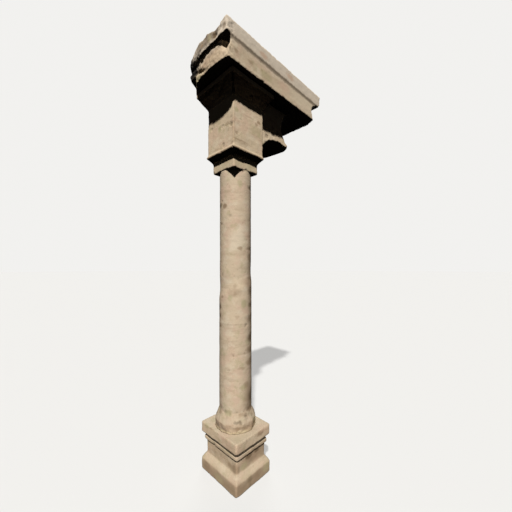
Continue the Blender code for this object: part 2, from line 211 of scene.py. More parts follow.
class PillarShaft(bpy.types.PropertyGroup):
    """Turned profile of the shaft."""

    foot_diameter: FloatProperty(
        name="Foot Diameter", description="Diameter of the drum at the foot",
        default=SHAFT_HIGH.x - SHAFT_LOW.x, unit="LENGTH",
    )
    foot_height: FloatProperty(
        name="Foot Height", description="Height of the drum at the foot", default=0.082, unit="LENGTH"
    )
    flare_height: FloatProperty(
        name="Flare Height", description="Height of the worn shoulder over the drum",
        default=0.090, unit="LENGTH",
    )
    flare_curve: FloatProperty(
        name="Flare Curve", description="Hollowness of the worn shoulder: 1 is a plain cone", default=1.3
    )
    foot_wear_depth: FloatProperty(
        name="Foot Wear Depth", description="Depth between the worn lumps of the foot",
        default=0.014, unit="LENGTH",
    )
    foot_wear_grain: FloatProperty(
        name="Foot Wear Grain", description="Width of the worn lumps of the foot",
        default=0.090, unit="LENGTH",
    )
    foot_wear_height: FloatProperty(
        name="Foot Wear Height", description="Height at which the lumps have died out",
        default=0.260, unit="LENGTH",
    )
    lower_diameter: FloatProperty(
        name="Lower Diameter", description="Diameter below the worn step", default=0.317, unit="LENGTH"
    )
    upper_diameter: FloatProperty(
        name="Upper Diameter", description="Diameter above the worn step", default=0.306, unit="LENGTH"
    )
    step_height: FloatProperty(
        name="Step Height", description="Height of the worn step over the bed", default=1.262, unit="LENGTH"
    )
    step_slant: FloatProperty(
        name="Step Slant", description="Rise of the step across the shaft", default=0.160, unit="LENGTH"
    )
    step_length: FloatProperty(
        name="Step Length", description="Height over which the step fades", default=0.110, unit="LENGTH"
    )
    step_hollow: FloatProperty(
        name="Step Hollow", description="Depth of the hollow over the step", default=0.003, unit="LENGTH"
    )
    step_side: FloatProperty(
        name="Step Side", description="Side on which the step is highest",
        default=math.radians(-46), subtype="ANGLE",
    )
    around: IntProperty(name="Faces Around", description="Faces round the shaft", default=224)
    courses: IntProperty(name="Faces Up", description="Faces from foot to neck", default=385)


class PillarFinish(bpy.types.PropertyGroup):
    """Colours of the stone, of what lies on it, and of the painted shade."""

    stone: FloatVectorProperty(
        name="Stone", description="Clean weathered face", default=linear("#D6BF9F"), size=4, subtype="COLOR"
    )
    pink: FloatVectorProperty(
        name="Pink", description="Iron-tinted beds", default=linear("#D8B89C"), size=4, subtype="COLOR"
    )
    light: FloatVectorProperty(
        name="Light", description="Freshly washed patches",
        default=linear("#E0CDAF"), size=4, subtype="COLOR",
    )
    washed: FloatVectorProperty(
        name="Washed", description="Pale grey bands that rain keeps clean",
        default=linear("#E6D5BE"), size=4,
        subtype="COLOR",
    )
    olive: FloatVectorProperty(
        name="Olive", description="Thin algae and lichen",
        default=linear("#BCAD86"), size=4, subtype="COLOR",
    )
    stain: FloatVectorProperty(
        name="Stain", description="Brown run-off stains", default=linear("#A1876A"), size=4, subtype="COLOR"
    )
    # Dust, laid on up-facing faces strongly enough to act also as painted shade that darkens them
    dust_and_top_shade: FloatVectorProperty(
        name="Dust", description="Dust settled on ledges and slopes", default=linear("#A19782"), size=4,
        subtype="COLOR",
    )
    dirt: FloatVectorProperty(
        name="Dirt", description="Dirt held in pits and crevices",
        default=linear("#6B563C"), size=4, subtype="COLOR",
    )
    # Painted shade: a near-black colour laid on undersides and on the shadowed back of the broken end
    painted_shade: FloatVectorProperty(
        name="Crust", description="Dark crust that rain never washes off undersides",
        default=linear("#1A1612"), size=4, subtype="COLOR",
    )


class PillarStage(bpy.types.PropertyGroup):
    """Floor, lights and camera."""

    floor: FloatVectorProperty(
        name="Floor", description="Floor sheet", default=linear("#949390"), size=4, subtype="COLOR"
    )
    glow: FloatProperty(name="Glow", description="Light that comes through the floor sheet", default=0.45)
    key: FloatProperty(name="Key", description="Strength of the key light", default=5.2)
    softness: FloatProperty(
        name="Softness", description="Apparent width of the key light",
        default=math.radians(2.0), subtype="ANGLE",
    )
    back: FloatProperty(name="Back", description="Strength of the broad light from behind", default=1.4)
    back_softness: FloatProperty(
        name="Back Softness", description="Apparent width of the broad light", default=math.radians(40.0),
        subtype="ANGLE",
    )
    reflected: FloatProperty(
        name="Reflected", description="Strength of the low light on the pedestal alone", default=0.60
    )
    fill: FloatProperty(name="Fill", description="Strength of the light from all round", default=0.008)
    lens: FloatProperty(name="Lens", description="Focal length in millimetres", default=18.21)


def weathering_tree():
    """Node group that wears a stone's surface inwards and keeps it inside its box."""
    tree = bpy.data.node_groups.new("stone_weathering", "GeometryNodeTree")
    sockets = tree.interface
    sockets.new_socket("Geometry", in_out="INPUT", socket_type="NodeSocketGeometry")
    add_size_sockets(tree, PillarWear)
    sockets.new_socket("Bed Radius", in_out="INPUT", socket_type="NodeSocketFloat")
    sockets.new_socket("Softening", in_out="INPUT", socket_type="NodeSocketInt")
    sockets.new_socket("Seed", in_out="INPUT", socket_type="NodeSocketInt")
    sockets.new_socket("Lowest Corner", in_out="INPUT", socket_type="NodeSocketVector")
    sockets.new_socket("Highest Corner", in_out="INPUT", socket_type="NodeSocketVector")
    sockets.new_socket("Material", in_out="INPUT", socket_type="NodeSocketMaterial")
    sockets.new_socket("Geometry", in_out="OUTPUT", socket_type="NodeSocketGeometry")
    given = add_node(tree, "NodeGroupInput").outputs
    place = add_node(tree, "GeometryNodeInputPosition")
    facing = add_node(tree, "GeometryNodeInputNormal")

    softened = add_node(
        tree, "GeometryNodeBlurAttribute", {"Value": place, "Iterations": given["Softening"]},
        data_type="FLOAT_VECTOR",
    )
    soft_stone = add_node(
        tree, "GeometryNodeSetPosition", {"Geometry": given["Geometry"], "Position": softened}
    )

    # Each seed reads the noise at another place
    seed_shift = add_node(
        tree, "ShaderNodeVectorMath", ((7.31, 3.17, 1.73), given["Seed"]), operation="MULTIPLY"
    )
    spot = add_node(tree, "ShaderNodeVectorMath", (place, seed_shift), operation="ADD")

    # How far the surface stands out of, or sinks below, its blurred surroundings
    surroundings = add_node(
        tree, "GeometryNodeBlurAttribute", {"Value": place, "Iterations": SURROUNDINGS_BLUR},
        data_type="FLOAT_VECTOR",
    )
    offset = add_node(tree, "ShaderNodeVectorMath", (place, surroundings), operation="SUBTRACT")
    along = add_node(tree, "ShaderNodeVectorMath", (offset, facing), operation="DOT_PRODUCT")
    standing = along.outputs["Value"]
    arris = add_node(tree, "ShaderNodeMapRange", (standing, *ARRIS_RISE, 0.0, 1.0))
    crevice = add_node(tree, "ShaderNodeMapRange", (standing, *CREVICE_RISE, 0.0, 1.0))

    # Faces past the break are rougher than dressed ones
    coordinates = add_node(tree, "ShaderNodeSeparateXYZ", (place,))
    past_break = add_node(
        tree, "ShaderNodeMath", (given["Break Place"], coordinates.outputs["X"]), operation="SUBTRACT"
    )
    break_depth = add_node(
        tree, "ShaderNodeMapRange", (past_break, 0.0, BREAK_FADE, 0.0, given["Break Depth"])
    )

    # Broad hollows, small lumps, soft beds and broken faces wave about the dressed face
    depths = []
    for grain, depth, detail, flattened in (
        ("Undulation Grain", given["Undulation Depth"], 2.0, (1.0, 1.0, 1.0)),
        ("Rough Grain", given["Rough Depth"], 4.0, (1.0, 1.0, 1.0)),
        ("Bedding Grain", given["Bedding Depth"], 3.0, (0.12, 0.12, 1.0)),
        ("Break Grain", break_depth, 4.0, (1.0, 1.0, 1.0)),
    ):
        stretched = add_node(tree, "ShaderNodeVectorMath", (spot, flattened), operation="MULTIPLY")
        fineness = add_node(tree, "ShaderNodeMath", (1.0, given[grain]), operation="DIVIDE")
        waves = add_node(
            tree, "ShaderNodeTexNoise", {"Vector": stretched, "Scale": fineness, "Detail": detail}
        )
        about = add_node(tree, "ShaderNodeMath", (waves.outputs[0], 0.5), operation="SUBTRACT")
        depths.append(add_node(tree, "ShaderNodeMath", (about, depth), operation="MULTIPLY"))

    # Pits: some cells of a scatter hold a rounded hole of their own size
    wobble = add_node(
        tree, "ShaderNodeTexNoise", {"Vector": spot, "Scale": PIT_LUMPS_PER_METRE, "Detail": 3.0}
    )
    shake = add_node(
        tree, "ShaderNodeVectorMath", (wobble.outputs["Color"], [PIT_RAGGEDNESS] * 3), operation="MULTIPLY"
    )
    shaken = add_node(tree, "ShaderNodeVectorMath", (spot, shake), operation="ADD")
    closeness = add_node(tree, "ShaderNodeMath", (1.0, given["Pit Spacing"]), operation="DIVIDE")
    cells = add_node(tree, "ShaderNodeTexVoronoi", {"Vector": shaken, "Scale": closeness})
    cell = add_node(tree, "FunctionNodeSeparateColor", (cells.outputs["Color"],))
    pit_radius = add_node(tree, "ShaderNodeMapRange", (cell.outputs[0], 0.0, 1.0, *PIT_RADII))
    chosen = add_node(tree, "ShaderNodeMath", (cell.outputs[1], PITTED_SHARE), operation="LESS_THAN")
    nearness = add_node(
        tree, "ShaderNodeMath", (cells.outputs["Distance"], pit_radius), operation="DIVIDE"
    )
    bowl = add_node(
        tree, "ShaderNodeMapRange", (nearness, 1.0, PIT_FLOOR, 0.0, 1.0), interpolation_type="SMOOTHSTEP"
    )
    pit = add_node(tree, "ShaderNodeMath", (bowl, chosen), operation="MULTIPLY")
    pit_size = add_node(tree, "ShaderNodeMath", (pit, cell.outputs[0]), operation="MULTIPLY")
    depths.append(add_node(tree, "ShaderNodeMath", (pit_size, given["Pit Depth"]), operation="MULTIPLY"))

    # Chips out of the arrises
    chip_fineness = add_node(tree, "ShaderNodeMath", (1.0, given["Chip Grain"]), operation="DIVIDE")
    chip_noise = add_node(
        tree, "ShaderNodeTexNoise", {"Vector": spot, "Scale": chip_fineness, "Detail": 3.0}
    )
    chipped = add_node(
        tree, "ShaderNodeMapRange", (chip_noise.outputs[0], *CHIPPED_NOISE, 0.0, 1.0),
        interpolation_type="SMOOTHSTEP",
    )
    chip = add_node(tree, "ShaderNodeMath", (chipped, arris), operation="MULTIPLY")
    depths.append(add_node(tree, "ShaderNodeMath", (chip, given["Chip Depth"]), operation="MULTIPLY"))

    total = depths[0]
    for depth in depths[1:]:
        total = add_node(tree, "ShaderNodeMath", (total, depth), operation="ADD")

    # The beds on which stones rest stay flat within a radius of the axis
    low = add_node(tree, "ShaderNodeSeparateXYZ", (given["Lowest Corner"],))
    high = add_node(tree, "ShaderNodeSeparateXYZ", (given["Highest Corner"],))
    above = add_node(
        tree, "ShaderNodeMath", (coordinates.outputs["Z"], low.outputs["Z"]), operation="SUBTRACT"
    )
    below = add_node(
        tree, "ShaderNodeMath", (high.outputs["Z"], coordinates.outputs["Z"]), operation="SUBTRACT"
    )
    nearest = add_node(tree, "ShaderNodeMath", (above, below), operation="MINIMUM")
    at_bed = add_node(tree, "ShaderNodeMath", (nearest, BED_TOLERANCE), operation="LESS_THAN")
    flat_place = add_node(tree, "ShaderNodeVectorMath", (place, (1.0, 1.0, 0.0)), operation="MULTIPLY")
    radius = add_node(tree, "ShaderNodeVectorMath", (flat_place,), operation="LENGTH").outputs["Value"]
    spare = add_node(tree, "ShaderNodeMath", (radius, given["Bed Radius"]), operation="SUBTRACT")
    inside = add_node(tree, "ShaderNodeMapRange", (spare, 0.0, BED_FADE, 1.0, 0.0))
    bedded = add_node(tree, "ShaderNodeMath", (at_bed, inside), operation="MULTIPLY")
    free = add_node(tree, "ShaderNodeMath", (1.0, bedded), operation="SUBTRACT")
    inset = add_node(tree, "ShaderNodeMath", (total, free), operation="MULTIPLY")
    moved = add_node(tree, "ShaderNodeVectorMath", {0: facing, "Scale": inset}, operation="SCALE")
    worn = add_node(tree, "ShaderNodeVectorMath", (place, moved), operation="SUBTRACT")
    over = add_node(tree, "ShaderNodeVectorMath", (worn, given["Lowest Corner"]), operation="MAXIMUM")
    kept = add_node(tree, "ShaderNodeVectorMath", (over, given["Highest Corner"]), operation="MINIMUM")

    # The finish reads the pits, the crevices and the arrises from the mesh
    stone = soft_stone
    for name, value in (("hollow", pit), ("crevice", crevice), ("arris", arris)):
        stone = add_node(
            tree, "GeometryNodeStoreNamedAttribute", {"Geometry": stone, "Name": name, "Value": value},
            data_type="FLOAT", domain="POINT",
        )
    worn_stone = add_node(tree, "GeometryNodeSetPosition", {"Geometry": stone, "Position": kept})
    smooth = add_node(tree, "GeometryNodeSetShadeSmooth", {"Geometry": worn_stone, "Shade Smooth": True})
    real = add_node(tree, "GeometryNodeRealizeInstances", {"Geometry": smooth})
    coated = add_node(
        tree, "GeometryNodeSetMaterial", {"Geometry": real, "Material": given["Material"]}
    )
    add_node(tree, "NodeGroupOutput", (coated,))
    return tree


def shaft_tree(weathering):
    """Node group that turns the shaft's profile and wears it with the weathering group."""
    tree = bpy.data.node_groups.new("turned_shaft", "GeometryNodeTree")
    sockets = tree.interface
    sockets.new_socket("Geometry", in_out="INPUT", socket_type="NodeSocketGeometry")
    add_size_sockets(tree, PillarShaft)
    for name in ("Height", "Bed"):
        sockets.new_socket(name, in_out="INPUT", socket_type="NodeSocketFloat")
    for item in weathering.interface.items_tree:
        if item.in_out == "INPUT" and item.name != "Geometry":
            sockets.new_socket(item.name, in_out="INPUT", socket_type=item.socket_type)
    sockets.new_socket("Geometry", in_out="OUTPUT", socket_type="NodeSocketGeometry")
    given = add_node(tree, "NodeGroupInput").outputs

    drum = add_node(
        tree, "GeometryNodeMeshCylinder",
        {
            "Vertices": given["Faces Around"],
            "Side Segments": given["Faces Up"],
            "Fill Segments": END_RINGS,
            "Radius": 1.0,
            "Depth": given["Height"],
        },
        fill_type="TRIANGLE_FAN",
    )
    place = add_node(tree, "GeometryNodeInputPosition")
    coordinates = add_node(tree, "ShaderNodeSeparateXYZ", (place,))
    half = add_node(tree, "ShaderNodeMath", (given["Height"], 0.5), operation="MULTIPLY")
    rise = add_node(tree, "ShaderNodeMath", (coordinates.outputs["Z"], half), operation="ADD")

    # The worn step is highest on one side
    angle = add_node(
        tree, "ShaderNodeMath", (coordinates.outputs["Y"], coordinates.outputs["X"]), operation="ARCTAN2"
    )
    turned = add_node(tree, "ShaderNodeMath", (angle, given["Step Side"]), operation="SUBTRACT")
    side = add_node(tree, "ShaderNodeMath", (turned,), operation="COSINE")
    half_slant = add_node(tree, "ShaderNodeMath", (given["Step Slant"], 0.5), operation="MULTIPLY")
    wave = add_node(
        tree, "ShaderNodeMath", (side, half_slant, given["Step Height"]), operation="MULTIPLY_ADD"
    )
    ragged = add_node(
        tree, "ShaderNodeTexNoise", {"Vector": place, "Scale": STEP_RAGGED_SCALE, "Detail": 3.0}
    )
    ragged_step = add_node(
        tree, "ShaderNodeMath", (ragged.outputs[0], STEP_RAGGEDNESS, wave), operation="MULTIPLY_ADD"
    )
    over_step = add_node(tree, "ShaderNodeMath", (rise, ragged_step), operation="SUBTRACT")
    thinner = add_node(
        tree, "ShaderNodeMapRange",
        (over_step, 0.0, given["Step Length"], given["Lower Diameter"], given["Upper Diameter"]),
        interpolation_type="SMOOTHSTEP",
    )
    full_radius = add_node(tree, "ShaderNodeMath", (thinner, 0.5), operation="MULTIPLY")

    # A shallow hollow over the step, which dies out higher up
    stepped = add_node(tree, "ShaderNodeMapRange", (over_step, 0.0, given["Step Length"], 0.0, 1.0))
    fading = add_node(
        tree, "ShaderNodeMapRange",
        (over_step, given["Step Length"], STEP_HOLLOW_FADE, given["Step Hollow"], 0.0),
        interpolation_type="SMOOTHSTEP",
    )
    hollow = add_node(tree, "ShaderNodeMath", (stepped, fading), operation="MULTIPLY")
    radius = add_node(tree, "ShaderNodeMath", (full_radius, hollow), operation="SUBTRACT")

    # The shoulder swells down to the drum at the foot
    over_foot = add_node(tree, "ShaderNodeMath", (rise, given["Foot Height"]), operation="SUBTRACT")
    flare = add_node(tree, "ShaderNodeMapRange", (over_foot, 0.0, given["Flare Height"], 1.0, 0.0))
    swell = add_node(tree, "ShaderNodeMath", (flare, given["Flare Curve"]), operation="POWER")
    foot_radius = add_node(tree, "ShaderNodeMath", (given["Foot Diameter"], 0.5), operation="MULTIPLY")
    full_profile = add_node(tree, "ShaderNodeMix", (swell, None, radius, foot_radius), data_type="FLOAT")

    # The foot is eaten into lumps, which die out up the shaft
    on_face = add_node(tree, "ShaderNodeVectorMath", (place, FOOT_SHRINK), operation="MULTIPLY")
    lump_fineness = add_node(tree, "ShaderNodeMath", (1.0, given["Foot Wear Grain"]), operation="DIVIDE")
    lumps = add_node(
        tree, "ShaderNodeTexNoise", {"Vector": on_face, "Scale": lump_fineness, "Detail": 3.0}
    )
    lump_depth = add_node(
        tree, "ShaderNodeMapRange", (lumps.outputs[0], *FOOT_LUMP_NOISE, 0.0, given["Foot Wear Depth"])
    )
    lumpy = add_node(
        tree, "ShaderNodeMapRange", (rise, given["Foot Wear Height"], given["Foot Height"], 0.0, 1.0),
        interpolation_type="SMOOTHSTEP",
    )
    eaten = add_node(tree, "ShaderNodeMath", (lump_depth, lumpy), operation="MULTIPLY")
    profile = add_node(tree, "ShaderNodeMath", (full_profile, eaten), operation="SUBTRACT")

    share = add_node(tree, "ShaderNodeVectorMath", (place, (1.0, 1.0, 0.0)), operation="MULTIPLY")
    outwards = add_node(
        tree, "ShaderNodeVectorMath", {0: share, "Scale": profile}, operation="SCALE"
    )
    lifted = add_node(tree, "ShaderNodeMath", (rise, given["Bed"]), operation="ADD")
    upwards = add_node(tree, "ShaderNodeCombineXYZ", {"Z": lifted})
    point = add_node(tree, "ShaderNodeVectorMath", (outwards, upwards), operation="ADD")
    turned_shaft = add_node(
        tree, "GeometryNodeSetPosition", {"Geometry": drum.outputs["Mesh"], "Position": point}
    )
    worn = add_node(tree, "GeometryNodeGroup", node_tree=weathering)
    tree.links.new(turned_shaft.outputs[0], worn.inputs["Geometry"])
    for item in weathering.interface.items_tree:
        if item.in_out == "INPUT" and item.name != "Geometry":
            tree.links.new(given[item.name], worn.inputs[item.name])
    real = add_node(tree, "GeometryNodeRealizeInstances", (worn,))
    coated = add_node(
        tree, "GeometryNodeSetMaterial", {"Geometry": real, "Material": given["Material"]}
    )
    add_node(tree, "NodeGroupOutput", (coated,))
    return tree


def wear_inputs(node, material, seed, bed_radius, softening):
    """Values for the weathering group's inputs, by their names."""
    low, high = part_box(node)
    return {
        **size_values(bpy.context.scene.pillar_wear),
        "Bed Radius": bed_radius,
        "Softening": softening,
        "Seed": seed,
        "Lowest Corner": low,
        "Highest Corner": high,
        "Material": material,
    }


def use_tree(stone, tree, values):
    """Puts a node group on a stone, with its inputs set by their sockets' identifiers."""
    modifier = stone.modifiers.new(tree.name, "NODES")
    modifier.node_group = tree
    for item in tree.interface.items_tree:
        if item.in_out == "INPUT" and item.name in values:
            modifier[item.identifier] = values[item.name]


def finished_piece(name, stone, node):
    """Turns what a stone's modifiers make into a plain mesh that stands for its CAD node."""
    graph = bpy.context.evaluated_depsgraph_get()
    mesh = bpy.data.meshes.new_from_object(stone.evaluated_get(graph), depsgraph=graph)
    bpy.data.objects.remove(stone)
    mesh.name = name
    piece = bpy.data.objects.new(name, mesh)
    bpy.context.scene.collection.objects.link(piece)
    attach(piece, BODY)
    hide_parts(node)


def merged_copy(node):
    """A copy of a CAD node's mesh with its loose triangles joined, as a new object."""
    mesh = bmesh.new()
    mesh.from_mesh(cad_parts[node].data)
    bmesh.ops.remove_doubles(mesh, verts=mesh.verts, dist=MERGE_DISTANCE)
    data = bpy.data.meshes.new(node + "_blank")
    mesh.to_mesh(data)
    mesh.free()
    stone = bpy.data.objects.new(node + "_blank", data)
    bpy.context.scene.collection.objects.link(stone)
    return stone


def carve_from_blank(name, node, voxel, material, seed, bed_radius, softening=2):
    """A stone that keeps its CAD node's form, remeshed finely and then weathered."""
    stone = merged_copy(node)
    remesh = stone.modifiers.new("fine_mesh", "REMESH")
    remesh.mode = "VOXEL"
    remesh.voxel_size = voxel
    use_tree(stone, shared_weathering(), wear_inputs(node, material, seed, bed_radius, softening))
    finished_piece(name, stone, node)


def shared_weathering():
    """The weathering group, made once."""
    return bpy.data.node_groups.get("stone_weathering") or weathering_tree()


# Patches of colour on every stone: colour, grain (m), flattening, noise from, noise to, strength
PATCHES = (
    ("pink", 0.150, 1.0, 0.46, 0.60, 0.62),
    ("light", 0.120, 1.4, 0.50, 0.66, 0.70),
    ("olive", 0.090, 1.0, 0.52, 0.68, 0.60),
    ("stain", 0.300, 6.0, 0.52, 0.70, 0.30),
    ("stain", 0.040, 1.0, 0.58, 0.72, 0.40),
)

# Dirt that the mesh's own attributes hold: attribute, colour, strength
HELD_DIRT = (
    ("arris", "stain", 0.25),
    ("crevice", "dirt", 0.60),
    ("hollow", "dirt", 0.45),
)

# What lies on a face by the way it faces, with dust that also darkens tops as painted shade and painted
# shade on undersides: colour, upward share from, to, strength
SETTLED = (
    # Dust on up-facing faces, also painted shade that darkens the tops
    ("dust_and_top_shade", 0.18, 0.75, 0.55),
    # Near-black painted shade on faces that face downwards
    ("painted_shade", -0.30, -0.62, 1.0),
)

# Stains, and a few marks of painted shade, at their own places: colour, centre (m), half width, depth and
# height (m), strength
PEDESTAL_STAINS = (
    ("stain", (0.0, 0.0, 0.030), (0.60, 0.60, 0.125), 0.80),
    ("stain", (0.08, -0.230, 0.250), (0.30, 0.05, 0.110), 0.75),
    ("stain", (-0.190, 0.0, 0.250), (0.05, 0.30, 0.100), 0.30),
    ("stain", (0.081, -0.263, 0.438), (0.060, 0.04, 0.036), 0.85),
    ("olive", (-0.221, 0.177, 0.452), (0.03, 0.060, 0.040), 0.85),
    ("stain", (-0.220, 0.104, 0.451), (0.03, 0.030, 0.015), 0.60),
    ("olive", (-0.123, 0.177, 0.465), (0.060, 0.060, 0.020), 0.85),
    ("stain", (-0.184, -0.209, 0.204), (0.060, 0.080, 0.070), 0.80),
    ("stain", (-0.183, -0.127, 0.206), (0.04, 0.040, 0.035), 0.70),
    ("olive", (-0.099, -0.225, 0.199), (0.060, 0.04, 0.050), 0.80),
    ("dirt", (-0.037, -0.224, 0.258), (0.060, 0.04, 0.038), 0.70),
    ("dirt", (0.071, -0.223, 0.262), (0.050, 0.04, 0.024), 0.70),
    ("stain", (-0.222, 0.174, 0.065), (0.03, 0.080, 0.060), 0.70),
    ("olive", (0.166, -0.262, 0.070), (0.070, 0.04, 0.060), 0.80),
    ("stain", (0.045, -0.262, 0.074), (0.090, 0.04, 0.050), 0.60),
    ("dirt", (-0.051, -0.262, 0.079), (0.045, 0.04, 0.050), 0.35),
    ("stain", (-0.216, -0.259, 0.069), (0.140, 0.140, 0.075), 0.50),
    ("olive", (-0.221, -0.017, 0.045), (0.04, 0.090, 0.050), 0.60),
    ("pink", (-0.190, -0.070, 0.460), (0.070, 0.100, 0.050), 0.80),
    ("pink", (0.118, -0.236, 0.460), (0.090, 0.060, 0.050), 0.80),
    ("olive", (-0.170, -0.215, 0.440), (0.070, 0.070, 0.060), 0.50),
)
SHAFT_STAINS = (
    ("dirt", (0.083, -0.133, 2.770), (0.088, 0.088, 0.035), 0.80),
    ("dirt", (0.100, -0.120, 2.180), (0.125, 0.125, 0.028), 0.90),
    ("dirt", (0.083, -0.133, 2.099), (0.086, 0.086, 0.060), 0.70),
    ("dirt", (0.098, -0.122, 1.898), (0.110, 0.110, 0.030), 0.70),
    ("dirt", (0.083, -0.133, 1.774), (0.086, 0.086, 0.075), 0.80),
    ("dirt", (0.083, -0.133, 1.640), (0.090, 0.090, 0.036), 0.90),
    ("dirt", (0.108, -0.112, 1.510), (0.145, 0.145, 0.070), 0.85),
    ("dirt", (0.083, -0.133, 1.326), (0.102, 0.102, 0.070), 0.98),
    ("stain", (0.060, -0.147, 1.214), (0.090, 0.060, 0.050), 0.90),
    ("stain", (0.056, -0.149, 1.093), (0.094, 0.060, 0.050), 0.90),
    ("stain", (0.050, -0.150, 0.760), (0.120, 0.060, 0.220), 0.65),
    ("stain", (0.0, 0.0, 0.530), (0.40, 0.40, 0.135), 0.60),
    ("olive", (0.0, 0.0, 0.474), (0.40, 0.40, 0.030), 0.60),
    ("stain", (-0.060, -0.160, 0.520), (0.130, 0.08, 0.018), 0.50),
    ("stain", (0.030, -0.150, 1.860), (0.100, 0.08, 0.060), 0.50),
    ("stain", (-0.110, -0.110, 1.765), (0.090, 0.09, 0.055), 0.45),
    ("light", (-0.090, -0.125, 2.250), (0.110, 0.11, 0.140), 0.80),
    ("dirt", (0.100, -0.120, 0.760), (0.125, 0.125, 0.100), 0.75),
    ("stain", (0.060, -0.145, 0.646), (0.075, 0.060, 0.045), 0.85),
    ("stain", (0.083, -0.133, 1.850), (0.092, 0.092, 1.100), 0.45),
    ("stain", (0.150, -0.030, 1.420), (0.090, 0.110, 0.260), 0.70),
    ("stain", (0.140, -0.060, 2.340), (0.080, 0.080, 0.190), 0.60),
    ("dirt", (-0.150, 0.058, 2.597), (0.06, 0.054, 0.036), 0.80),
    ("stain", (-0.152, -0.020, 2.580), (0.05, 0.036, 0.036), 0.95),
    ("pink", (-0.152, 0.020, 2.690), (0.05, 0.060, 0.110), 0.70),
    ("dirt", (-0.143, 0.074, 1.621), (0.070, 0.064, 0.048), 0.90),
    ("dirt", (-0.143, 0.074, 1.536), (0.070, 0.062, 0.030), 0.80),
    ("stain", (-0.143, 0.070, 1.442), (0.070, 0.070, 0.030), 0.95),
    ("stain", (-0.154, 0.012, 1.717), (0.04, 0.028, 0.022), 0.70),
    ("stain", (-0.065, -0.142, 2.178), (0.038, 0.04, 0.026), 0.75),
    ("olive", (-0.066, -0.142, 2.783), (0.034, 0.04, 0.055), 0.80),
    ("olive", (-0.031, -0.157, 1.655), (0.045, 0.04, 0.060), 0.85),
    ("olive", (-0.134, -0.076, 1.713), (0.04, 0.030, 0.040), 0.70),
    ("stain", (-0.106, -0.114, 1.826), (0.030, 0.030, 0.030), 0.40),
    ("stain", (-0.107, -0.115, 1.751), (0.026, 0.026, 0.026), 0.40),
    ("stain", (-0.094, -0.129, 1.537), (0.034, 0.034, 0.020), 0.35),
    ("olive", (-0.030, -0.158, 0.870), (0.060, 0.05, 0.040), 0.90),
    ("stain", (0.000, -0.160, 0.885), (0.045, 0.05, 0.045), 0.65),
    ("stain", (-0.052, -0.151, 1.051), (0.060, 0.05, 0.018), 0.50),
    ("dirt", (-0.016, -0.161, 0.607), (0.038, 0.05, 0.024), 0.65),
    ("stain", (-0.058, -0.150, 0.620), (0.050, 0.05, 0.020), 0.80),
    ("dirt", (-0.118, -0.142, 0.565), (0.028, 0.040, 0.020), 0.70),
    ("dirt", (-0.088, -0.163, 0.566), (0.028, 0.040, 0.026), 0.85),
    ("stain", (-0.158, 0.037, 0.614), (0.04, 0.028, 0.026), 0.85),
    ("olive", (-0.146, -0.060, 0.636), (0.06, 0.060, 0.045), 0.90),
    ("olive", (0.080, -0.188, 0.529), (0.045, 0.05, 0.060), 0.95),
    ("stain", (0.010, -0.197, 0.505), (0.100, 0.05, 0.030), 0.60),
    ("stain", (-0.116, -0.162, 0.505), (0.028, 0.04, 0.030), 0.80),
)
CAPITAL_STAINS = (
    ("olive", (-0.191, 0.005, 3.299), (0.04, 0.034, 0.042), 0.95),
    ("stain", (-0.192, -0.106, 3.308), (0.04, 0.055, 0.022), 0.55),
    ("stain", (-0.193, -0.163, 3.356), (0.04, 0.024, 0.020), 0.50),
    ("olive", (-0.155, -0.193, 3.415), (0.036, 0.04, 0.034), 0.80),
    ("stain", (-0.156, -0.192, 3.211), (0.030, 0.04, 0.024), 0.70),
    ("stain", (0.131, -0.194, 3.411), (0.036, 0.04, 0.022), 0.90),
    ("stain", (0.100, -0.193, 3.378), (0.028, 0.04, 0.022), 0.60),
    ("stain", (-0.115, -0.193, 3.154), (0.150, 0.04, 0.012), 0.55),
    ("stain", (-0.013, -0.192, 3.413), (0.110, 0.04, 0.012), 0.35),
    ("olive", (0.094, -0.193, 3.317), (0.120, 0.04, 0.070), 0.55),
    ("stain", (-0.192, 0.047, 3.122), (0.04, 0.040, 0.012), 0.40),
    ("olive", (-0.020, -0.020, 2.960), (0.30, 0.30, 0.060), 0.50),
    ("stain", (-0.192, -0.193, 3.270), (0.030, 0.030, 0.280), 0.35),
    # Painted shade over the lip of the impost block, where the key light catches it
    ("stain", (0.0, 0.0, 3.073), (0.60, 0.60, 0.034), 0.65),
)
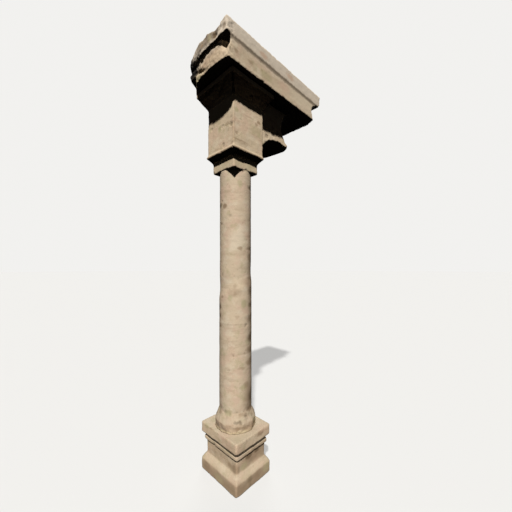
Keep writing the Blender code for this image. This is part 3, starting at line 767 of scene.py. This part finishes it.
CORNICE_STAINS = (
    ("washed", (0.300, 0.0, 3.980), (3.0, 1.0, 0.170), 0.95),
    ("pink", (0.058, -0.331, 3.946), (0.080, 0.04, 0.036), 0.85),
    ("pink", (0.453, -0.331, 3.958), (0.090, 0.04, 0.036), 0.85),
    ("stain", (-0.270, -0.319, 3.797), (0.034, 0.04, 0.026), 0.75),
    ("stain", (0.044, -0.319, 3.803), (0.026, 0.04, 0.018), 0.50),
    ("olive", (0.106, -0.318, 3.790), (0.110, 0.04, 0.060), 0.75),
    ("pink", (0.376, -0.320, 3.820), (0.120, 0.04, 0.060), 0.85),
    ("stain", (-0.103, -0.319, 3.806), (0.050, 0.04, 0.024), 0.55),
    ("dirt", (-0.380, -0.060, 3.975), (0.080, 0.260, 0.075), 0.70),
    ("olive", (-0.386, -0.102, 3.967), (0.06, 0.040, 0.045), 0.60),
    ("stain", (-0.386, 0.009, 3.964), (0.06, 0.026, 0.026), 0.80),
    ("stain", (-0.385, -0.299, 3.950), (0.04, 0.030, 0.034), 0.60),
    # Painted shade in the crack of the broken end, which is shallower in the mesh than the shadow it stands
    # for
    ("dirt", (-0.370, -0.166, 3.950), (0.08, 0.030, 0.050), 0.95),
    # Painted shade over the back of the broken end, which lies in shadow
    ("painted_shade", (-0.330, 0.305, 3.910), (0.130, 0.140, 0.190), 0.99),
    ("light", (0.800, -0.320, 3.800), (0.500, 0.05, 0.110), 0.70),
    ("olive", (-0.360, 0.100, 3.745), (0.090, 0.150, 0.055), 0.85),
    ("stain", (-0.370, -0.100, 3.790), (0.08, 0.260, 0.110), 0.55),
    # More painted shade over the shadowed back of the broken end
    ("painted_shade", (-0.325, 0.215, 3.885), (0.080, 0.080, 0.065), 0.97),
    ("dirt", (-0.340, 0.120, 3.805), (0.05, 0.090, 0.024), 0.90),
    # Painted shadow along the groove between the upper and lower bands
    ("dirt", (0.320, -0.320, 3.889), (3.0, 0.05, 0.027), 0.62),
)


def weathered_limestone(name, stains, tone=(1.0, 1.0, 1.0)):
    """Limestone cut by chisel and weathered for centuries: dull, mottled and pitted, with dirt held
    in pits and crevices, dust that also darkens tops as painted shade, and painted shade on undersides."""
    finish = bpy.context.scene.pillar_finish
    material = bpy.data.materials.new(name)
    material.use_nodes = True
    tree = material.node_tree
    shader = tree.nodes["Principled BSDF"]
    coordinates = add_node(tree, "ShaderNodeTexCoord").outputs
    place = coordinates["Object"]

    # Each layer is the share of the face that it covers, and its colour
    layers = []
    for index, (colour, grain, flattening, low, high, strength) in enumerate(PATCHES):
        spread = add_node(
            tree, "ShaderNodeMapping",
            {"Vector": place, "Location": (index * 3.7, 0.0, 0.0), "Scale": (1.0, 1.0, flattening)},
        )
        noise = add_node(
            tree, "ShaderNodeTexNoise",
            {"Vector": spread, "Scale": 1.0 / grain, "Detail": 5.0, "Roughness": 0.62},
        )
        share = add_node(
            tree, "ShaderNodeMapRange", (noise.outputs[0], low, high, 0.0, strength),
            interpolation_type="SMOOTHSTEP",
        )
        layers.append((share, colour))

    # Stains have ragged edges, from lumps of noise about 3 cm wide
    ragged = add_node(
        tree, "ShaderNodeTexNoise", {"Vector": place, "Scale": 1.0 / STAIN_RAGGED_GRAIN, "Detail": 3.0}
    )
    shake = add_node(
        tree, "ShaderNodeVectorMath",
        (ragged.outputs["Color"], [STAIN_RAGGEDNESS] * 3, [-STAIN_RAGGEDNESS / 2] * 3),
        operation="MULTIPLY_ADD",
    )
    shaken = add_node(tree, "ShaderNodeVectorMath", (place, shake), operation="ADD")
    for colour, centre, radii, strength in stains:
        spread = add_node(
            tree, "ShaderNodeMapping",
            {
                "Vector": shaken,
                "Location": [-middle / radius for middle, radius in zip(centre, radii)],
                "Scale": [1.0 / radius for radius in radii],
            },
        )
        distance = add_node(tree, "ShaderNodeVectorMath", (spread,), operation="LENGTH")
        share = add_node(
            tree, "ShaderNodeMapRange", (distance, 1.0, STAIN_CORE, 0.0, strength),
            interpolation_type="SMOOTHSTEP",
        )
        layers.append((share, colour))

    # Dirt in pits and crevices and along the arrises, thicker in some places than in others
    soiling = add_node(
        tree, "ShaderNodeTexNoise", {"Vector": place, "Scale": SOILING_PER_METRE, "Detail": 4.0}
    )
    soiled = add_node(tree, "ShaderNodeMapRange", (soiling.outputs[0], 0.35, 0.65, 0.35, 1.0))
    for attribute, colour, strength in HELD_DIRT:
        held = add_node(tree, "ShaderNodeAttribute", attribute_name=attribute).outputs["Fac"]
        uneven = add_node(tree, "ShaderNodeMath", (held, soiled), operation="MULTIPLY")
        share = add_node(tree, "ShaderNodeMath", (uneven, strength), operation="MULTIPLY")
        layers.append((share, colour))
    # By the way a face faces: dust on up-facing faces, which also darkens them as painted shade, and
    # near-black painted shade on undersides
    facing = add_node(tree, "ShaderNodeSeparateXYZ", (coordinates["Normal"],))
    for colour, start, end, strength in SETTLED:
        share = add_node(tree, "ShaderNodeMapRange", (facing.outputs["Z"], start, end, 0.0, strength))
        layers.append((share, colour))

    face = [channel * part for channel, part in zip(finish.stone, (*tone, 1.0))]
    for share, colour in layers:
        over = [channel * part for channel, part in zip(getattr(finish, colour), (*tone, 1.0))]
        face = add_node(tree, "ShaderNodeMix", {0: share, 6: face, 7: over}, data_type="RGBA").outputs[2]

    # The stone's own grain is finer: it is drawn 6 mm wide, as coarse as it needs to show
    grains = add_node(
        tree, "ShaderNodeTexNoise",
        {"Vector": place, "Scale": 1.0 / GRAIN_WIDTH, "Detail": 6.0, "Roughness": 0.7},
    )
    speckle = add_node(tree, "ShaderNodeMapRange", (grains.outputs[0], 0.3, 0.7, *GRAIN_SHADES))
    tinted = add_node(tree, "ShaderNodeVectorMath", {0: face, "Scale": speckle}, operation="SCALE")
    tree.links.new(tinted.outputs[0], shader.inputs["Base Color"])
    dull = add_node(tree, "ShaderNodeMapRange", (soiling.outputs[0], 0.3, 0.7, *DULLNESS))
    tree.links.new(dull.outputs[0], shader.inputs["Roughness"])
    shader.inputs["Specular IOR Level"].default_value = STONE_SPECULAR

    # Small pores and grain as bump
    pores = add_node(tree, "ShaderNodeTexVoronoi", {"Vector": place, "Scale": 1.0 / PORE_SPACING})
    pore = add_node(tree, "ShaderNodeMapRange", (pores.outputs["Distance"], 0.05, 0.30, 0.0, 1.0))
    pore_bump = add_node(
        tree, "ShaderNodeBump", {"Strength": 0.30, "Distance": PORE_DEPTH, "Height": pore}
    )
    bump = add_node(
        tree, "ShaderNodeBump",
        {"Strength": 0.45, "Distance": GRAIN_DEPTH, "Height": grains.outputs[0], "Normal": pore_bump},
    )
    tree.links.new(bump.outputs[0], shader.inputs["Normal"])
    return material


class PILLAR_OT_pedestal(bpy.types.Operator):
    """Builds the pedestal: slab, sloped weathering, die, band and cap in one block"""

    bl_idname = "pillar.pedestal"
    bl_label = "Pedestal"

    def execute(self, context):
        material = weathered_limestone("weathered_limestone_pedestal", PEDESTAL_STAINS, PEDESTAL_TONE)
        foot = context.scene.pillar_shaft.foot_diameter / 2
        carve_from_blank("pedestal_stone", "pedestal", PEDESTAL_VOXEL, material, seed=3, bed_radius=foot)
        return {"FINISHED"}


class PILLAR_OT_shaft(bpy.types.Operator):
    """Builds the round shaft with its worn foot and its slanting step"""

    bl_idname = "pillar.shaft"
    bl_label = "Shaft"

    def execute(self, context):
        sizes = context.scene.pillar_shaft
        material = weathered_limestone("weathered_limestone_shaft", SHAFT_STAINS, SHAFT_TONE)
        blank = bpy.data.meshes.new("shaft_blank")
        stone = bpy.data.objects.new("shaft_blank", blank)
        context.scene.collection.objects.link(stone)
        values = {
            **wear_inputs("shaft", material, seed=5, bed_radius=sizes.foot_diameter, softening=0),
            **size_values(sizes),
            "Height": SHAFT_HIGH.z - SHAFT_LOW.z,
            "Bed": SHAFT_LOW.z,
        }
        use_tree(stone, shaft_tree(shared_weathering()), values)
        finished_piece("shaft_stone", stone, "shaft")
        return {"FINISHED"}


class PILLAR_OT_capital(bpy.types.Operator):
    """Builds the capital: neck, cove, impost block, bed mould and bracket in one block"""

    bl_idname = "pillar.capital"
    bl_label = "Capital"

    def execute(self, context):
        material = weathered_limestone("weathered_limestone_capital", CAPITAL_STAINS)
        carve_from_blank(
            "capital_stone", "capital", CAPITAL_VOXEL, material, seed=7, bed_radius=CAPITAL_BED_RADIUS
        )
        return {"FINISHED"}


class PILLAR_OT_cornice(bpy.types.Operator):
    """Builds the length of cornice with its broken end"""

    bl_idname = "pillar.cornice"
    bl_label = "Cornice"

    def execute(self, context):
        material = weathered_limestone("weathered_limestone_cornice", CORNICE_STAINS)
        carve_from_blank(
            "cornice_stone", "cornice", CORNICE_VOXEL, material, seed=11, bed_radius=CORNICE_BED_RADIUS,
            softening=1,
        )
        return {"FINISHED"}


class PILLAR_OT_stage(bpy.types.Operator):
    """Sets up the pale floor, the three lights, the fill and the camera"""

    bl_idname = "pillar.stage"
    bl_label = "Stage"

    def execute(self, context):
        stage = context.scene.pillar_stage
        make_floor(stage)
        make_light("key", stage.key, stage.softness, KEY_PATH)
        make_light("back", stage.back, stage.back_softness, BACK_PATH)
        make_light("reflected", stage.reflected, stage.back_softness, REFLECTED_PATH, only="pedestal_stone")
        make_surroundings(stage)
        make_camera(stage)
        return {"FINISHED"}


def make_floor(stage):
    """Plain pale floor under the pillar, lit from below as a light table is, so shadows on it stay soft.
    It sends no light up at the pillar."""
    half = FLOOR_SIDE / 2
    data = bpy.data.meshes.new("floor")
    corners = [(-half, -half), (half, -half), (half, half), (-half, half)]
    data.from_pydata([(x, y, -FLOOR_GAP) for x, y in corners], [], [(0, 1, 2, 3)])
    floor = bpy.data.objects.new("floor", data)
    bpy.context.scene.collection.objects.link(floor)
    floor.visible_diffuse = False
    floor.visible_glossy = False
    # Opal acrylic sheet, cast and sanded matt: pale, with no reflections
    material = bpy.data.materials.new("matt_opal_acrylic")
    material.use_nodes = True
    shader = material.node_tree.nodes["Principled BSDF"]
    shader.inputs["Base Color"].default_value = tuple(stage.floor)
    shader.inputs["Roughness"].default_value = 1.0
    shader.inputs["Specular IOR Level"].default_value = 0.0
    shader.inputs["Emission Color"].default_value = FLOOR_GLOW
    shader.inputs["Emission Strength"].default_value = stage.glow
    data.materials.append(material)


def make_light(name, strength, width, path, only=None):
    """A distant light of an apparent width, which shines along a path, on all or on one object only."""
    light = bpy.data.lights.new(name, "SUN")
    light.energy = strength
    light.angle = width
    lamp = bpy.data.objects.new(name, light)
    bpy.context.scene.collection.objects.link(lamp)
    lamp.rotation_mode = "QUATERNION"
    lamp.rotation_quaternion = path.to_track_quat("-Z", "Y")
    if only:
        lit = bpy.data.collections.new(name + "_receivers")
        lit.objects.link(bpy.data.objects[only])
        lamp.light_linking.receiver_collection = lit


def make_surroundings(stage):
    """A backdrop as bright as the lit floor, and a weak even fill."""
    world = bpy.data.worlds.new("surroundings")
    bpy.context.scene.world = world
    world.use_nodes = True
    tree = world.node_tree
    tree.nodes.clear()
    lit = (stage.key * -KEY_PATH.z + stage.back * -BACK_PATH.z) / math.pi + stage.fill
    backdrop = [channel * lit + stage.glow for channel in stage.floor[:3]] + [1.0]
    seen = add_node(tree, "ShaderNodeLightPath").outputs["Is Camera Ray"]
    fill = add_node(tree, "ShaderNodeBackground", ((1.0, 1.0, 1.0, 1.0), stage.fill))
    shown = add_node(tree, "ShaderNodeBackground", (backdrop, 1.0))
    mix = add_node(tree, "ShaderNodeMixShader", (seen, fill, shown))
    add_node(tree, "ShaderNodeOutputWorld", (mix,))
    bpy.context.scene.view_settings.view_transform = "Standard"


def make_camera(stage):
    """Level camera 2 m above the ground and 2.6 m from the shaft, with its picture shifted."""
    data = bpy.data.cameras.new("camera")
    data.sensor_width = 36.0
    data.lens = stage.lens
    data.shift_y = CAMERA_RISE
    data.clip_end = FLOOR_SIDE
    camera = bpy.data.objects.new("camera", data)
    bpy.context.scene.collection.objects.link(camera)
    forward = Vector(CAMERA_AIM).normalized()
    right = Vector((forward.y, -forward.x, 0.0))
    turn = Matrix((right, Vector((0.0, 0.0, 1.0)), -forward)).transposed()
    camera.matrix_world = Matrix.Translation(CAMERA_PLACE) @ turn.to_4x4()
    bpy.context.scene.camera = camera


class PILLAR_PT_panel(bpy.types.Panel):
    """Lists the steps that build the pillar and its stage"""

    bl_idname = "PILLAR_PT_panel"
    bl_label = "Stone Pillar"
    bl_space_type = "VIEW_3D"
    bl_region_type = "UI"
    bl_category = "Pillar"

    def draw(self, context):
        for step in STEPS:
            self.layout.operator(step.bl_idname)


STEPS = (PILLAR_OT_pedestal, PILLAR_OT_shaft, PILLAR_OT_capital, PILLAR_OT_cornice, PILLAR_OT_stage)
SETTINGS = {
    "pillar_wear": PillarWear,
    "pillar_shaft": PillarShaft,
    "pillar_finish": PillarFinish,
    "pillar_stage": PillarStage,
}


def register():
    for name, group in SETTINGS.items():
        bpy.utils.register_class(group)
        setattr(bpy.types.Scene, name, PointerProperty(type=group))
    for item in (*STEPS, PILLAR_PT_panel):
        bpy.utils.register_class(item)


def unregister():
    for item in (PILLAR_PT_panel, *reversed(STEPS)):
        bpy.utils.unregister_class(item)
    for name, group in reversed(SETTINGS.items()):
        delattr(bpy.types.Scene, name)
        bpy.utils.unregister_class(group)


def main():
    register()
    bpy.ops.pillar.pedestal()
    bpy.ops.pillar.shaft()
    bpy.ops.pillar.capital()
    bpy.ops.pillar.cornice()
    bpy.ops.pillar.stage()


if __name__ == "__main__":
    main()
